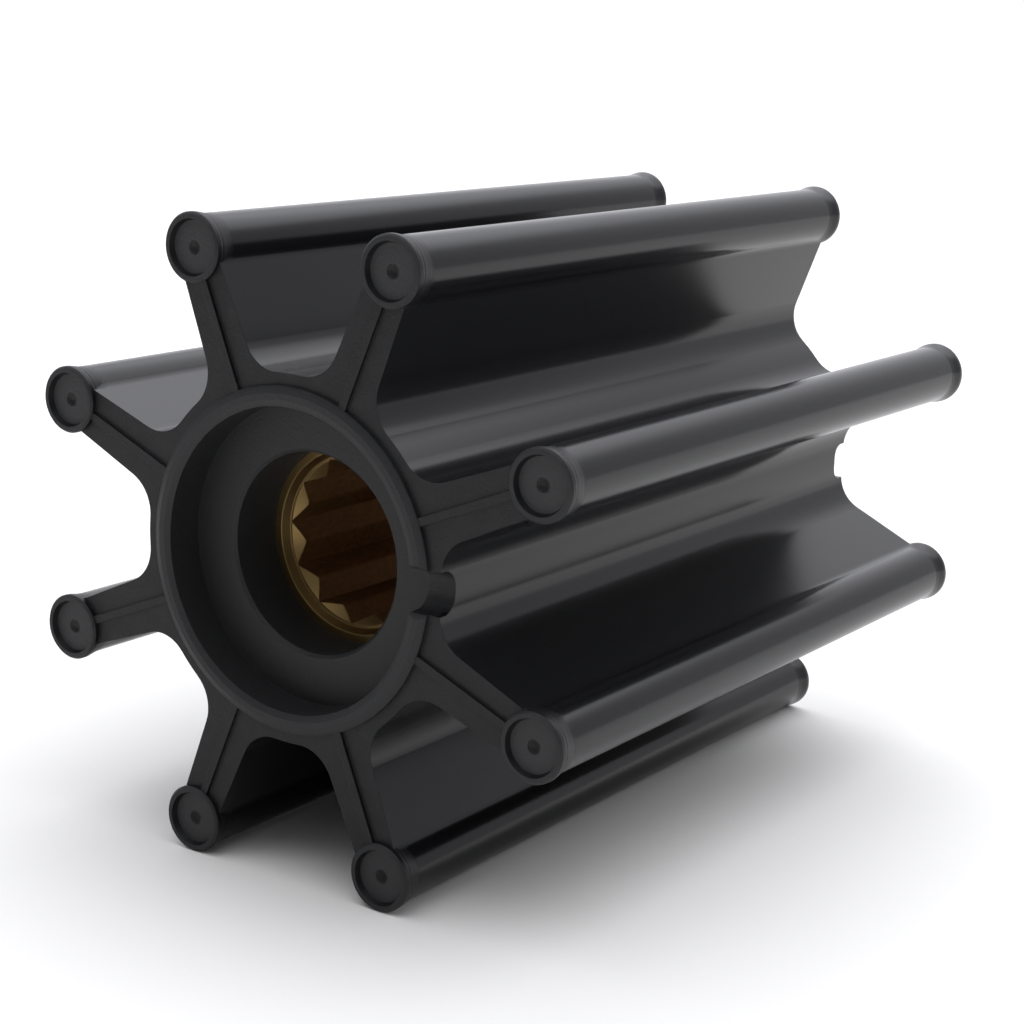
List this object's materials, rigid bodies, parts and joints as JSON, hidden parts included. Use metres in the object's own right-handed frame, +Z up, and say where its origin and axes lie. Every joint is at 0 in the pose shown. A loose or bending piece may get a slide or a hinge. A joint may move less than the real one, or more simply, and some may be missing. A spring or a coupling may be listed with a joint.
{
  "type": "pump impeller",
  "caption": "Flexible rubber pump impeller with straight radial vanes, round bulb tips, recessed slotted ends and a splined brass bush bonded in its bore.",
  "frame": {"origin": "centre of the bounding box, on the bore axis midway between the two ends", "axes": "Y along the bore axis with the front end towards -Y, +Z up with the piece lying on two vane tips, +X towards the drive slots"},
  "size_m": [0.0606, 0.077, 0.0606],
  "materials": {
    "moulded_rubber": "black moulded rubber, matt on the end faces and glossy along the vanes",
    "bush_brass": "machined brass, dull and slightly browned"
  },
  "bodies": {
    "root": {"rubber_body": "moulded_rubber", "splined_bush": "bush_brass"}
  },
  "joints": []
}
